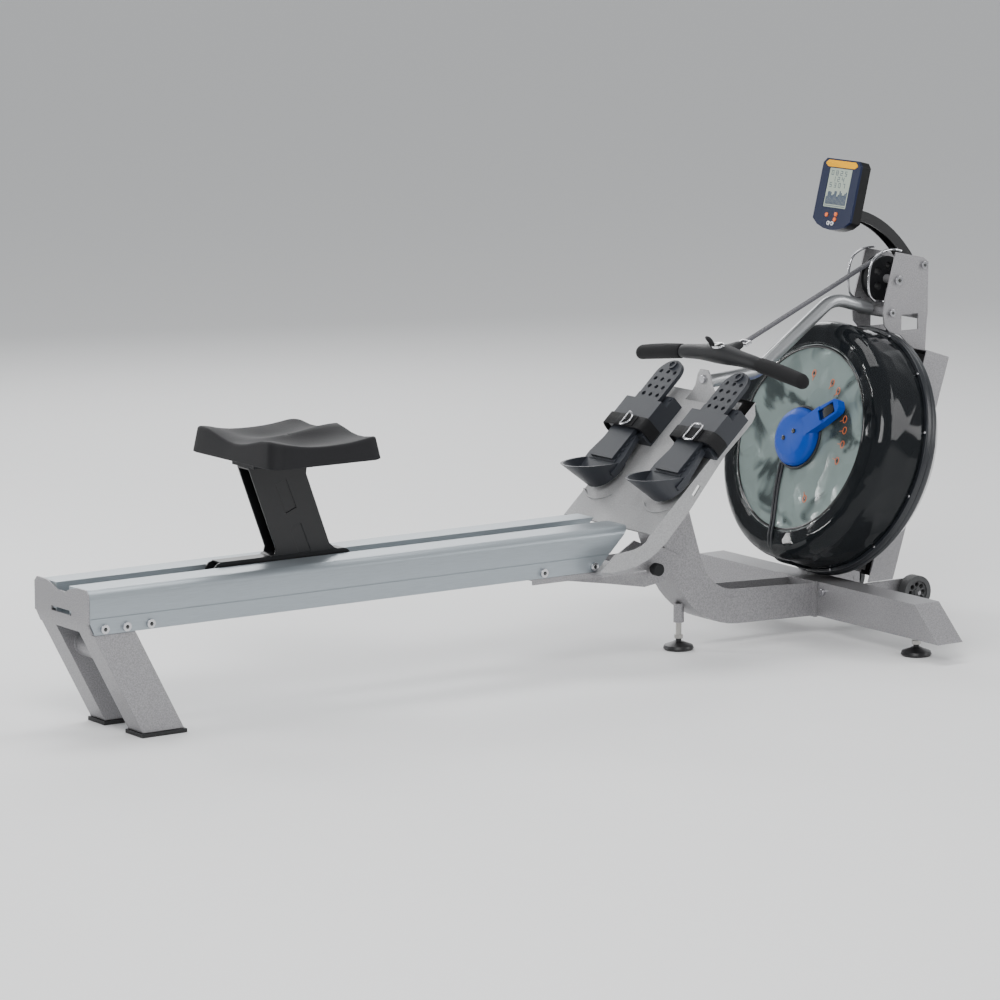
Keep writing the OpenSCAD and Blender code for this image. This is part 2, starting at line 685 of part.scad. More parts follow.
// Plate with hole rows, ribbed sole and heel cup, which slides through its block
module heel_slider(s) {
    top = plate_z + plate_t;
    cup_x = 122;
    holes = [for (i = [0:3], j = [-1:1]) [304 + 21 * i, 23 * j]];
    color([0.12, 0.12, 0.13]) rest_frame(s) {
        difference() {
            union() {
                translate([130, -plate_half, plate_z]) cube([plate_end - 130, 2 * plate_half, plate_t]);
                translate([plate_end, 0, plate_z]) cylinder(r = plate_half, h = plate_t);
            }
            for (p = holes) translate([p[0], p[1], plate_z - 1]) cylinder(r = 5, h = plate_t + 2);
        }
        translate([385, 0, top]) difference() {
            cylinder(r = 11, h = 4);
            translate([0, 0, 1]) cylinder(r = 7, h = 5);
        }
        // ribbed sole
        translate([0, 0, 24]) linear_extrude(11)
            polygon([[100, -58], [142, -60], [203, -46], [203, 46], [142, 60], [100, 58]]);
        for (i = [0:4]) translate([126 + 15 * i, -44, 34]) cube([8, 88, 3]);
        // flared heel cup, cut by a plane that falls towards the sole
        difference() {
            translate([cup_x, 0, 14]) cylinder(r1 = 52, r2 = 68, h = 84);
            translate([cup_x, 0, 20]) cylinder(r1 = 49.5, r2 = 64.5, h = 80);
            translate([142, -90, 0]) cube([120, 180, 130]);
            translate([57, -90, 96]) rotate([0, 41, 0]) translate([-40, 0, 0]) cube([220, 180, 120]);
        }
    }
}
module heel_slider_left() { heel_slider(1); }
module heel_slider_right() { heel_slider(-1); }
// Straps over the blocks, each with its ends in the block's base
module foot_straps() {
    top = plate_z + plate_t + 5.4;
    color(black) for (s = [-1, 1]) rest_frame(s) difference() {
        translate([209, -block_half - 4, 3]) cube([30, 2 * block_half + 8, top]);
        translate([208, -block_half - 0.5, -1]) cube([32, 2 * block_half + 1, top + 1]);
    }
}
module strap_buckles() {
    color(chrome) for (s = [-1, 1]) rest_frame(s) difference() {
        translate([205, -20, plate_z + plate_t + 9]) cube([38, 34, 4]);
        translate([210, -15, plate_z + plate_t + 8]) cube([28, 24, 6]);
    }
}
module latch_knob() {
    color(black) translate([316, -44.5 - 2 - gap, 190]) rotate([90, 0, 0]) {
        cylinder(r = 5, h = 12);
        translate([0, 0, 12]) cylinder(r = 13, h = 16);
    }
}

// Seat -----------------------------------------------------------------------

module seat_pad() {
    r = 28;
    x0 = seat_x - seat_d / 2 + r;
    x1 = seat_x + seat_d / 2 - r;
    y1 = seat_w / 2 - r;
    color(black) difference() {
        translate([0, 0, seat_z]) linear_extrude(pad_t + 12)
            rounded([[x0, -y1], [x1, -y1], [x0, y1], [x1, y1]], r);
        for (s = [-1, 1]) translate([seat_x, s * 66, seat_z + pad_t + 178]) sphere(r = 190);
    }
}
module seat_block() {
    color(black) {
        translate([seat_x - 100, -40, seat_z - 14 - gap]) cube([196, 80, 14]);
        for (s = [-1, 1]) translate([seat_x - 70, s * 60 - 12, seat_z - 8 - gap]) cube([130, 24, 8]);
    }
}
// Folded channel between the seat and the trolley, open to the rear, with pressed ribs
module seat_upright() {
    top = seat_z - 14 - 2 * gap;
    b = upright_base_z;
    lean = (upright_base_x - upright_top_x) / (468 - 287);
    function px(z) = upright_base_x - (z - 287) * lean;
    len = upright_len;
    side = [[px(b) - 16, b], [px(b) + len + 16, b], [px(b + 4) + len + 8, b + 4],
        [px(b + 14) + len, b + 14], [px(top - 22) + len, top - 22], [px(top - 6) + len + 8, top - 6],
        [px(top) + len + 22, top], [px(top), top], [px(b + 14), b + 14], [px(b + 4) - 6, b + 4]];
    inner = [[px(b) - 30, b + 4], [px(b) + len - 5, b + 4], [px(top) + len - 5, top - 4],
        [px(top) - 30, top - 4]];
    color([0.05, 0.05, 0.05]) difference() {
        across(2 * upright_half) polygon(side);
        across(2 * upright_half - 8) polygon(inner);
        for (s = [-1, 1], z = [330, 420])
            translate([px(z) + upright_len / 2, s * (upright_half - 0.5), z]) rotate([0, -22, 0])
                cube([26, 3, 62], center = true);
    }
}
module seat_trolley() {
    color([0.05, 0.05, 0.05]) difference() {
        union() {
            translate([trolley_rear + 16, -17, upright_base_z - 4 - gap])
                cube([trolley_front - trolley_rear - 32, 34, 4]);
            for (s = [-1, 1]) translate([0, s * 15, 0]) across(4) hull() {
                for (x = [trolley_rear + 17, trolley_front - 17])
                    translate([x, upright_base_z - 18 - gap]) circle(r = 17, $fn = 40);
                for (x = [trolley_rear + 10, trolley_front - 22])
                    translate([x, track_z - 12]) square([12, 12]);
            }
        }
        for (x = axle_x) translate([x, 0, track_z]) rod_y(seat_axle_r + 0.01, 60);
    }
}
module seat_axles() {
    color(chrome) for (x = axle_x) translate([x, 0, track_z]) rod_y(seat_axle_r, 2 * track_y + 14);
}
module rollers(x) {
    color([0.75, 0.74, 0.70]) translate([x, 0, track_z]) for (s = [-1, 1])
        translate([0, s * track_y, 0]) difference() {
            rod_y(roller_r - gap, 12);
            rod_y(seat_axle_r + run, 14);
        }
}
module front_rollers() { rollers(axle_x[1]); }
module rear_rollers() { rollers(axle_x[0]); }

// Handle and belt --------------------------------------------------------------

// Centre line of the handle at a distance y from its middle
function bow(y) = handle_z - droop * pow(abs(y) / (handle_len / 2), 1.6);
module bar_piece(y0, y1, r0, r1) {
    hull() {
        translate([handle_x, y0, bow(y0)]) sphere(r = r0, $fn = 20);
        translate([handle_x, y1, bow(y1)]) sphere(r = r1, $fn = 20);
    }
}
module handle_core() {
    color([0.12, 0.12, 0.13]) {
        bar_piece(-60, 60, 20, 20);
        both_sides() difference() {
            bar_piece(60, 124, 20, 15);
            translate([handle_x - 30, core_half, handle_z - 40]) cube([60, 30, 80]);
        }
        translate([handle_x - 12, 4, handle_z + 8]) rotate([0, -20, 0]) cube([20, 10, 22]);
        hull() {
            translate([handle_x + 10, 0, handle_z]) sphere(r = 12, $fn = 20);
            translate([shackle_x - 17, 0, shackle_z]) sphere(r = 9, $fn = 20);
        }
    }
}
module handle_grips() {
    e = handle_len / 2 - grip_d / 2;
    color(black) both_sides() difference() {
        union() {
            bar_piece(132, 210, grip_d / 2, grip_d / 2);
            bar_piece(210, e, grip_d / 2, grip_d / 2);
        }
        translate([handle_x - 30, 0, handle_z - 40]) cube([60, core_half + gap, 80]);
    }
}
module handle_shackle() {
    color(chrome) translate([shackle_x + 2, 0, shackle_z]) rotate([0, 90 - belt_slope, 0]) difference() {
        cube([7, 30, 16], center = true);
        cube([9, belt_w + 1, 9], center = true);
    }
}
module belt_span() {
    n = norm([belt_tan_x - shackle_x, belt_tan_z - shackle_z]);
    color([0.2, 0.2, 0.22]) translate([belt_tan_x, 0, belt_tan_z]) rotate([0, -belt_slope, 0])
        translate([-n + 11, -belt_w / 2, -belt_t / 2]) cube([n - 11 - gap, belt_w, belt_t]);
}
module top_pulley() {
    h = pulley_w / 2;
    color([0.1, 0.1, 0.11]) translate([pulley_x, 0, pulley_z]) rotate([90, 0, 0]) difference() {
        rotate_extrude($fn = 72) polygon([[axle_r + run, -h], [pulley_r + 4, -h], [pulley_r + 4, -h + 2.4],
            [pulley_r, -h + 2.6], [pulley_r, h - 2.6], [pulley_r + 4, h - 2.4], [pulley_r + 4, h],
            [axle_r + run, h]]);
        for (i = [0:4]) rotate([0, 0, 72 * i]) translate([27, 0, -h - 1]) cylinder(r = 9, h = 2 * h + 2);
    }
}

// Display ------------------------------------------------------------------------

module face_outline(in) {
    w = disp_w / 2 - in;
    u = disp_h / 2 - in;
    polygon([[-u * 0.72, -w], [u - 10, -w], [u, -w + 10], [u, w - 10], [u - 10, w], [-u * 0.72, w],
        [-u * 0.88, w * 0.72], [-u * 0.97, w * 0.36], [-u, 0], [-u * 0.97, -w * 0.36], [-u * 0.88, -w * 0.72]]);
}
// Places of the buttons on the face: up the face, then across it
btn_pos = [[-44, 18], [-41, -12], [-52, -11], [-61, 7], [-61, -5]];
module monitor_case() {
    color([0.05, 0.08, 0.18]) disp_frame() difference() {
        union() {
            translate([0, 0, -disp_t]) linear_extrude(disp_t) face_outline(0);
            translate([-42, -12, -disp_t - 22]) cube([20, 24, 23]);
        }
        translate([-28, -lcd_half, -4]) cube([84, 2 * lcd_half, 10]);
        for (p = btn_pos) translate([p[0], p[1], -5]) cylinder(r = btn_r + gap, h = 12);
        translate([-32, 0, -disp_t - 14]) rotate([90, 0, 0])
            cylinder(r = 4 + run, h = 60, center = true);
    }
}
module monitor_screen() {
    color([0.62, 0.68, 0.62]) disp_frame()
        translate([-28 + gap, gap - lcd_half, -4 + gap])
            cube([84 - 2 * gap, 2 * lcd_half - 2 * gap, 3]);
}
module button(i) {
    color(i < 3 ? [0.95, 0.45, 0.15] : [0.9, 0.9, 0.92]) disp_frame()
        translate([btn_pos[i][0], btn_pos[i][1], -5 + btn_travel + gap]) cylinder(r = btn_r, h = 5.5);
}
module button_select() { button(0); }
module button_plus() { button(1); }
module button_minus() { button(2); }
module button_down() { button(3); }
module button_up() { button(4); }
// Centre line of the display's arm, a curve with one control point
arm_ctrl = [958, 866];
hinge_pos = [disp_x + (disp_t + 14) * cos(disp_tilt) - 32 * sin(disp_tilt),
    disp_z - (disp_t + 14) * sin(disp_tilt) - 32 * cos(disp_tilt)];
function arm_point(t) = (1 - t) * (1 - t) * [arm_x, arm_z] + 2 * t * (1 - t) * arm_ctrl + t * t * hinge_pos;
function arm_normal(t) =
    let(d = arm_point(t + 0.01) - arm_point(t - 0.01)) [-d[1], d[0]] / norm(d);
module arm_outline(r, t0, t1) {
    n = 10;
    ts = [for (i = [0:n]) t0 + (t1 - t0) * i / n];
    polygon(concat([for (t = ts) arm_point(t) + r * arm_normal(t)],
        [for (i = [n:-1:0]) arm_point(ts[i]) - r * arm_normal(ts[i])]));
}
// Curved channel arm from the bracket's rear bolt to the back of the display
module monitor_arm() {
    color(black) difference() {
        for (s = [-1, 1]) translate([0, s * 14.5, 0]) across(3) {
            arm_outline(11, 0, 1);
            translate([arm_x, arm_z]) circle(11);
            translate(hinge_pos) circle(11);
        }
        translate([arm_x, 0, arm_z]) rod_y(4 + run, 60);
        translate([hinge_pos[0], 0, hinge_pos[1]]) rod_y(4.01, 60);
    }
    color(black) across(26.02) difference() {
        arm_outline(11, 0.12, 0.84);
        arm_outline(8, 0.1, 0.86);
        polygon([for (t = [0.1, 0.5, 0.86]) arm_point(t), for (t = [0.86, 0.5, 0.1]) arm_point(t) + 30 * arm_normal(t)]);
    }
    color(chrome) translate([hinge_pos[0], 0, hinge_pos[1]]) rod_y(4, 40);
}

rail_left();
rail_right();
rear_end_plate();
rear_leg_frame();
rear_pads();
rail_bolts();
rail_cradle();
footplate();
main_channel();
front_stabiliser();
frame_bolts();
column();
top_bracket();
upper_tube();
wire_guards();
tank_rear_shell();
tank_front_shell();
tank_ring();
tank_gasket();
tank_inner_wall();
shaft_bearings();
shaft_seal();
belt_return();
recoil_cord();
footrest_bases();
foot_straps();
strap_buckles();
levelling_foot_left();
levelling_foot_right();
levelling_foot_centre();
latch_knob();
seat_pad();
seat_block();
seat_upright();
seat_trolley();
seat_axles();
front_rollers();
rear_rollers();
handle_core();
handle_grips();
handle_shackle();
belt_span();
top_pulley();
drive_spool();
impeller();
impeller_shaft();
adjuster_lever();
heel_slider_left();
heel_slider_right();
monitor_arm();
monitor_case();
monitor_screen();
button_select();
button_plus();
button_minus();
button_down();
button_up();
transport_wheel_left();
transport_wheel_right();
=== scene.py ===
"""Looks of a water-resistance rowing machine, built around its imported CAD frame."""
import math
import bpy
import bmesh
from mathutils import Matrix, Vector


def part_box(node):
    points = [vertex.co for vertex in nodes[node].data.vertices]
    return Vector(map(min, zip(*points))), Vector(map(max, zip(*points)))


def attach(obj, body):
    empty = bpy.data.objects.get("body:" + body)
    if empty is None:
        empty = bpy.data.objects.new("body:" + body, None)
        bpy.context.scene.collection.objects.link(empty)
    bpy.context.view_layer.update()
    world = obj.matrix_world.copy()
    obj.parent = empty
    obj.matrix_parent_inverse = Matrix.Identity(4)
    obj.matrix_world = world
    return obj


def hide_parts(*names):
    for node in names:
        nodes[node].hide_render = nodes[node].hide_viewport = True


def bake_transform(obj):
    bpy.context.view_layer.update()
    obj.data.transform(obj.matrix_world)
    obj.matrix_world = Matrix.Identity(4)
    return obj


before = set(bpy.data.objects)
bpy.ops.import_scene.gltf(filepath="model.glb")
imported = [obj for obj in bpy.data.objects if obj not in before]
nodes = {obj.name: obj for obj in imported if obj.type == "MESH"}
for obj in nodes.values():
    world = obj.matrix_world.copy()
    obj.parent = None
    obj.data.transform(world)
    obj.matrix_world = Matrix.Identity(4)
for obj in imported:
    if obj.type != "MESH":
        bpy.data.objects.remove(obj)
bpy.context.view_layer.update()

# Materials ---------------------------------------------------------------------


def add_node(tree, kind, **values):
    """A shader node whose inputs are set by name."""
    made = tree.nodes.new(kind)
    for key, value in values.items():
        made.inputs[key.replace("_", " ")].default_value = value
    return made


def coordinates(tree, stretch=(1, 1, 1)):
    """Object coordinates in metres, scaled along each axis."""
    place = add_node(tree, "ShaderNodeMapping", Scale=stretch)
    tree.links.new(tree.nodes.new("ShaderNodeTexCoord").outputs["Object"], place.inputs["Vector"])
    return place.outputs["Vector"]


def fine_height(tree, grain, size, stretch):
    """A height pattern whose features measure size metres."""
    vector = coordinates(tree, stretch)
    if grain == "weave":
        waves = []
        for direction in ("X", "Y"):
            wave = add_node(tree, "ShaderNodeTexWave", Scale=math.tau / (20 * size), Distortion=0.4)
            wave.bands_direction = direction
            tree.links.new(vector, wave.inputs["Vector"])
            waves.append(wave.outputs["Fac"])
        join = tree.nodes.new("ShaderNodeMath")
        join.operation = "MULTIPLY"
        tree.links.new(waves[0], join.inputs[0])
        tree.links.new(waves[1], join.inputs[1])
        return join.outputs["Value"]
    if grain in ("leather", "facets"):
        cells = add_node(tree, "ShaderNodeTexVoronoi", Scale=1 / size)
        cells.feature = "SMOOTH_F1" if grain == "leather" else "F1"
        tree.links.new(vector, cells.inputs["Vector"])
        return cells.outputs["Distance"]
    noise = add_node(tree, "ShaderNodeTexNoise", Scale=1 / size, Detail=3.0, Roughness=0.6)
    tree.links.new(vector, noise.inputs["Vector"])
    return noise.outputs["Fac"]


def surface(name, base, rough, metal=0.0, grain="noise", size=0.001, depth=0.0001, vary=0.10,
            speck=0.0, stretch=(1, 1, 1), **shader):
    """A procedural finish: broad colour and roughness variation, fine speckle and fine relief."""
    made = bpy.data.materials.new(name)
    made.use_nodes = True
    tree = made.node_tree
    bsdf = tree.nodes["Principled BSDF"]
    bsdf.inputs["Metallic"].default_value = metal
    for key, value in shader.items():
        bsdf.inputs[key.replace("_", " ")].default_value = value
    broad = add_node(tree, "ShaderNodeTexNoise", Scale=14.0, Detail=5.0, Roughness=0.55)
    tree.links.new(coordinates(tree, stretch), broad.inputs["Vector"])
    colour = tree.nodes.new("ShaderNodeMix")
    colour.data_type = "RGBA"
    colour.inputs["A"].default_value = [*(c * (1 - vary) for c in base[:3]), 1]
    colour.inputs["B"].default_value = [*(min(1, c * (1 + vary)) for c in base[:3]), 1]
    tree.links.new(broad.outputs["Fac"], colour.inputs["Factor"])
    shade = colour.outputs["Result"]
    height = fine_height(tree, grain, size, stretch)
    if speck:
        spots = add_node(tree, "ShaderNodeMapRange", From_Min=0.35, From_Max=0.65,
                         To_Min=1 - speck, To_Max=1 + speck)
        tree.links.new(height, spots.inputs["Value"])
        scale = tree.nodes.new("ShaderNodeVectorMath")
        scale.operation = "SCALE"
        tree.links.new(shade, scale.inputs[0])
        tree.links.new(spots.outputs["Result"], scale.inputs["Scale"])
        shade = scale.outputs["Vector"]
    tree.links.new(shade, bsdf.inputs["Base Color"])
    worn = add_node(tree, "ShaderNodeMapRange", To_Min=max(0.02, rough - 0.07), To_Max=rough + 0.07)
    tree.links.new(broad.outputs["Fac"], worn.inputs["Value"])
    tree.links.new(worn.outputs["Result"], bsdf.inputs["Roughness"])
    bump = add_node(tree, "ShaderNodeBump", Strength=0.6, Distance=depth)
    tree.links.new(height, bump.inputs["Height"])
    tree.links.new(bump.outputs["Normal"], bsdf.inputs["Normal"])
    return made


COAT = {"Coat_Weight": 0.5, "Coat_Roughness": 0.12}
POWDER = surface("powder_coat", (0.30, 0.295, 0.305), 0.44, 0.45, size=0.0024, depth=0.0002,
                 vary=0.05, speck=0.20)
POWDER_LIGHT = surface("powder_coat_light", (0.38, 0.38, 0.385), 0.46, 0.35, size=0.0024, depth=0.0002,
                       vary=0.04, speck=0.13)
TUBE = surface("tube_silver", (0.40, 0.41, 0.42), 0.32, 0.7, size=0.0016, depth=0.00006,
               vary=0.04, speck=0.08)
RAIL = surface("anodised_rail", (0.36, 0.40, 0.43), 0.40, 0.65, size=0.0008, depth=0.00004, vary=0.04,
               speck=0.06, stretch=(0.02, 1, 1))
CHROME = surface("bolt_chrome", (0.55, 0.55, 0.57), 0.14, 1.0, size=0.0009, depth=0.00002, vary=0.06)
STEEL = surface("ground_steel", (0.5, 0.5, 0.51), 0.3, 1.0, size=0.0005, depth=0.00003, stretch=(1, 0.1, 1))
RUBBER = surface("black_rubber", (0.012, 0.012, 0.013), 0.62, size=0.0012, depth=0.0001, vary=0.2)
PLASTIC = surface("black_plastic", (0.011, 0.0115, 0.013), 0.50, size=0.0009, depth=0.00008, vary=0.12,
                  Specular_IOR_Level=0.25)
BLOCK = surface("block_plastic", (0.021, 0.024, 0.031), 0.42, size=0.0012, depth=0.00012, vary=0.10)
BLACK_PAINT = surface("black_paint", (0.006, 0.006, 0.007), 0.36, size=0.0014, depth=0.00006, vary=0.15)
SEAT = surface("seat_skin", (0.012, 0.012, 0.0135), 0.66, grain="leather", size=0.0022,
               depth=0.0003, vary=0.2, Specular_IOR_Level=0.22)
GRIP = surface("grip_rubber", (0.009, 0.009, 0.010), 0.7, size=0.0016, depth=0.00025, vary=0.15,
               Specular_IOR_Level=0.2)
WEBBING = surface("webbing", (0.007, 0.007, 0.008), 0.72, grain="weave", size=0.0013, depth=0.0003, vary=0.2,
                  Specular_IOR_Level=0.3)
BELT = surface("drive_belt", (0.060, 0.060, 0.070), 0.62, grain="weave", size=0.0012, depth=0.0003, vary=0.15,
               Specular_IOR_Level=0.3)
RING = surface("ring_plastic", (0.013, 0.015, 0.019), 0.34, size=0.0011, depth=0.00008, vary=0.10)
BLUE = surface("blue_plastic", (0.0, 0.058, 0.42), 0.42, size=0.0016, depth=0.00005, vary=0.06,
               Specular_IOR_Level=0.3)
NAVY = surface("display_case", (0.0035, 0.0035, 0.004), 0.36, size=0.0009, depth=0.00006, vary=0.1,
               Specular_IOR_Level=0.25)
FOOT = surface("levelling_foot", (0.012, 0.012, 0.013), 0.4, size=0.0012, depth=0.00006, vary=0.12)
LCD = surface("lcd_glass", (0.36, 0.42, 0.35), 0.22, size=0.0006, depth=0.00001, vary=0.05, **COAT)
LCD_INK = surface("lcd_ink", (0.035, 0.055, 0.10), 0.4, size=0.0006, depth=0.00001)
AMBER = surface("amber_band", (0.95, 0.44, 0.0), 0.55, size=0.0009, depth=0.00002, vary=0.08,
                Specular_IOR_Level=0.1)
ORANGE = surface("orange_key", (0.80, 0.16, 0.03), 0.5, size=0.0009, depth=0.00005)
WHITE = surface("white_key", (0.78, 0.78, 0.80), 0.5, size=0.0009, depth=0.00004, vary=0.04)
ROLLER = surface("roller_acetal", (0.5, 0.49, 0.44), 0.4, size=0.0009, depth=0.00004)
TYRE = surface("wheel_rubber", (0.055, 0.056, 0.058), 0.55, size=0.0011, depth=0.00012, vary=0.12)
WINDOW = surface("black_window", (0.004, 0.005, 0.005), 0.10, size=0.0009, depth=0.00001, **COAT)
SMOKE = surface("tank_smoke", (0.40, 0.49, 0.47), 0.05, size=0.050, depth=0.005, vary=0.12, grain="facets",
                Transmission_Weight=0.5, IOR=1.3)
INNER = surface("tank_inner", (0.30, 0.36, 0.36), 0.10, size=0.03, depth=0.001, vary=0.2, grain="facets",
                Transmission_Weight=0.7, IOR=1.2)
REAR = surface("tank_rear", (0.36, 0.44, 0.42), 0.16, size=0.05, depth=0.002, vary=0.2, **COAT)


def distance_factor(material, point, axis, low, high, radial):
    """0 below and 1 above a distance, measured along an axis or, if radial, away from it."""
    tree = material.node_tree
    offset = tree.nodes.new("ShaderNodeVectorMath")
    offset.operation = "SUBTRACT"
    offset.inputs[1].default_value = point
    tree.links.new(coordinates(tree), offset.inputs[0])
    along = tree.nodes.new("ShaderNodeVectorMath")
    along.operation = "CROSS_PRODUCT" if radial else "DOT_PRODUCT"
    along.inputs[1].default_value = axis
    tree.links.new(offset.outputs["Vector"], along.inputs[0])
    if radial:
        length = tree.nodes.new("ShaderNodeVectorMath")
        length.operation = "LENGTH"
        tree.links.new(along.outputs["Vector"], length.inputs[0])
        along = length
    value = along.outputs["Value"]
    band = add_node(tree, "ShaderNodeMapRange", From_Min=low, From_Max=high)
    band.interpolation_type = "SMOOTHSTEP"
    tree.links.new(value, band.inputs["Value"])
    return band.outputs["Result"]


def noise_factor(material, scale, low, high):
    """0 and 1 in broad, sharply bounded patches."""
    tree = material.node_tree
    noise = add_node(tree, "ShaderNodeTexNoise", Scale=scale, Detail=2.0, Distortion=1.6)
    tree.links.new(coordinates(tree), noise.inputs["Vector"])
    band = add_node(tree, "ShaderNodeMapRange", From_Min=low, From_Max=high)
    band.interpolation_type = "SMOOTHSTEP"
    tree.links.new(noise.outputs["Fac"], band.inputs["Value"])
    return band.outputs["Result"]


def tint(material, factor, other, **changes):
    """Blends a material's colour, and any other inputs, to a second set where the factor is 1."""
    tree = material.node_tree
    bsdf = tree.nodes["Principled BSDF"]
    first = bsdf.inputs["Base Color"].links[0].from_socket
    mix = tree.nodes.new("ShaderNodeMix")
    mix.data_type = "RGBA"
    mix.inputs["B"].default_value = [*other, 1]
    tree.links.new(first, mix.inputs["A"])
    tree.links.new(factor, mix.inputs["Factor"])
    tree.links.new(mix.outputs["Result"], bsdf.inputs["Base Color"])
    for key, value in changes.items():
        blend = tree.nodes.new("ShaderNodeMix")
        earlier = bsdf.inputs[key.replace("_", " ")]
        blend.inputs["A"].default_value = earlier.default_value
        if earlier.links:
            tree.links.new(earlier.links[0].from_socket, blend.inputs["A"])
        blend.inputs["B"].default_value = value
        tree.links.new(factor, blend.inputs["Factor"])
        tree.links.new(blend.outputs["Result"], bsdf.inputs[key.replace("_", " ")])


# Local frames --------------------------------------------------------------------

TANK_LEAN = math.radians(17.5)
TANK_AXIS = Vector((-math.cos(TANK_LEAN), 0, math.sin(TANK_LEAN)))
TANK_UP = Vector((math.sin(TANK_LEAN), 0, math.cos(TANK_LEAN)))
TANK_CENTRE = Vector((0.861, 0, 0.379))
# Distance of the tank's front face from its centre, along the axis
FACE_S = 0.126
FOOT_SLOPE = math.radians(43.1)
FOOT_UP = Vector((math.cos(FOOT_SLOPE), 0, math.sin(FOOT_SLOPE)))
FOOT_OUT = Vector((-math.sin(FOOT_SLOPE), 0, math.cos(FOOT_SLOPE)))
FOOT_START = Vector((0.238, 0, 0.283))
REST_Y = 0.112
DISPLAY_TILT = math.radians(13.7)
DISPLAY_OUT = Vector((-math.cos(DISPLAY_TILT), 0, math.sin(DISPLAY_TILT)))
DISPLAY_UP = Vector((math.sin(DISPLAY_TILT), 0, math.cos(DISPLAY_TILT)))
DISPLAY_CENTRE = Vector((0.830, 0, 0.924))
SIDE = Vector((0, 1, 0))


def tank_point(up, y, out):
    """A point from the tank's centre: up the face, across it, and out along the axis."""
    return TANK_CENTRE + TANK_UP * up + SIDE * y + TANK_AXIS * out


def foot_point(up, y, out):
    """A point from FOOT_START: up the slope, across, and off the plate."""
    return FOOT_START + FOOT_UP * up + SIDE * y + FOOT_OUT * out


def display_point(up, y, out):
    """A point from the middle of the display's face."""
    return DISPLAY_CENTRE + DISPLAY_UP * up + SIDE * y + DISPLAY_OUT * out


# Mesh helpers ----------------------------------------------------------------------

SHARP_ANGLE = math.radians(50)
WELD_DISTANCE = 0.00002


def piece(name, verts, faces, material, body, slot, stands_for=(), ride=True):
    """A new mesh piece that moves with a CAD body."""
    mesh = bpy.data.meshes.new(name)
    mesh.from_pydata([tuple(v) for v in verts], [], faces)
    shape = bmesh.new()
    shape.from_mesh(mesh)
    bmesh.ops.recalc_face_normals(shape, faces=shape.faces)
    shape.to_mesh(mesh)
    shape.free()
    mesh.materials.append(material)
    mesh.shade_smooth()
    mesh.set_sharp_from_angle(angle=SHARP_ANGLE)
    made = bpy.data.objects.new(name, mesh)
    bpy.context.scene.collection.objects.link(made)
    if ride:
        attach(made, body)
    if stands_for:
        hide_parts(*stands_for)
    return made


def loft(rings):
    """Vertices and faces of a closed skin through rings of equally many points."""
    count = len(rings[0])
    last = (len(rings) - 1) * count
    faces = []
    for i in range(len(rings) - 1):
        for k in range(count):
            j = (k + 1) % count
            faces.append((i * count + k, i * count + j, (i + 1) * count + j, (i + 1) * count + k))
    faces.append(tuple(reversed(range(count))))
    faces.append(tuple(range(last, last + count)))
    return [p for ring in rings for p in ring], faces


def join(parts):
    """Several (vertices, faces) pairs as one."""
    verts, faces = [], []
    for part_verts, part_faces in parts:
        start = len(verts)
        verts += part_verts
        faces += [tuple(i + start for i in face) for face in part_faces]
    return verts, faces


def smooth_path(points, steps=8):
    """A Catmull-Rom curve through points."""
    points = [Vector(p) for p in points]
    ends = [2 * points[0] - points[1], *points, 2 * points[-1] - points[-2]]
    path = []
    for i in range(1, len(ends) - 2):
        a, b, c, d = ends[i - 1:i + 3]
        for k in range(steps):
            t = k / steps
            path.append(0.5 * (2 * b + (c - a) * t + (2 * a - 5 * b + 4 * c - d) * t * t
                               + (3 * b - a - 3 * c + d) * t ** 3))
    return [*path, points[-1]]


def sweep(path, section, side, closed=False):
    """Carries a flat section along a path; side is the section's first axis."""
    side = Vector(side)
    count = len(path)
    rings = []
    for i, point in enumerate(path):
        before = path[i - 1] if i or closed else point
        after = path[(i + 1) % count] if i < count - 1 or closed else point
        normal = (after - before).normalized().cross(side).normalized()
        rings.append([point + side * a + normal * b for a, b in section])
    if closed:
        rings.append(rings[0])
    return loft(rings)


def strip_section(width, thick):
    """A flat strap's section with softened edges."""
    w, t, c = width / 2, thick / 2, thick * 0.3
    return [(-w, c - t), (c - w, -t), (w - c, -t), (w, c - t),
            (w, t - c), (w - c, t), (c - w, t), (-w, t - c)]


def round_section(radius, sides=12):
    """A round bar's section."""
    return [(radius * math.cos(math.tau * k / sides), radius * math.sin(math.tau * k / sides))
            for k in range(sides)]


def plate(outline, place, low, high, edge=0.0004):
    """A thin plate: place(a, b, out) puts its outline into the row frame."""
    middle = (sum(p[0] for p in outline) / len(outline), sum(p[1] for p in outline) / len(outline))

    def ring(out, shrink):
        return [place(middle[0] + (a - middle[0]) * shrink, middle[1] + (b - middle[1]) * shrink, out)
                for a, b in outline]

    size = max(math.hypot(a - middle[0], b - middle[1]) for a, b in outline)
    return loft([ring(low, 1), ring(high - edge, 1), ring(high, 1 - edge / size)])


def ellipse(a, b, half_a, half_b, count=24):
    return [(a + half_a * math.cos(math.tau * k / count), b + half_b * math.sin(math.tau * k / count))
            for k in range(count)]


def bell(x, centre, width):
    """A smooth bump of height 1 at centre."""
    return math.exp(-((x - centre) / width) ** 2)


# CAD nodes that stay, with softened edges ----------------------------------------------

